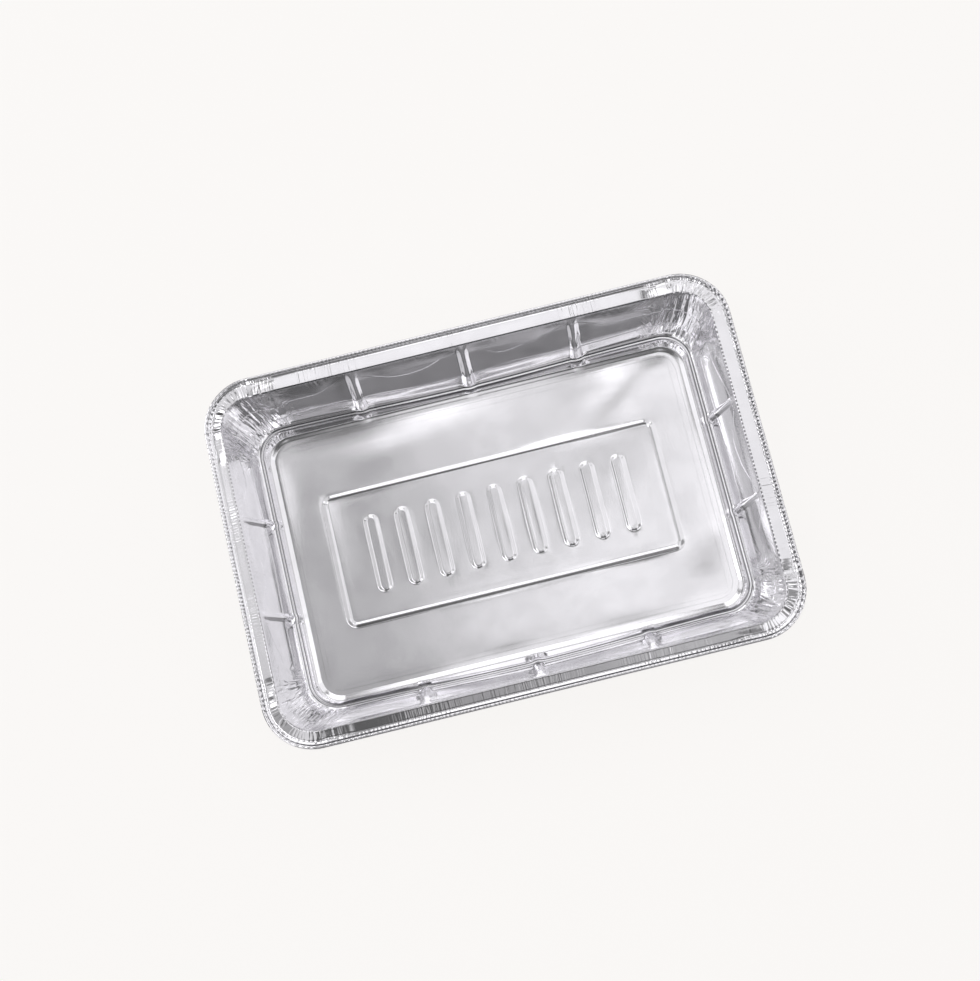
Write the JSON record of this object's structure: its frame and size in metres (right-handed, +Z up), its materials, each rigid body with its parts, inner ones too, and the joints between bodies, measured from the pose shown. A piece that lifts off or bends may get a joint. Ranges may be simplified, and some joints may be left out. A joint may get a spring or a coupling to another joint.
{
  "type": "foil drip pan",
  "caption": "Shallow rectangular drip pan pressed from aluminium foil, with a rolled rim, sloping ribbed walls, gathered corners and an embossed floor.",
  "frame": {"origin": "middle of the footprint, on the surface that the pan stands on", "axes": "+X along the long side, +Y along the short side, +Z up out of the open pan"},
  "size_m": [0.218, 0.154, 0.028],
  "materials": {
    "foil": "bright rolled foil, satin on the floor"
  },
  "bodies": {
    "root": {"drip_pan": "foil"}
  },
  "joints": []
}
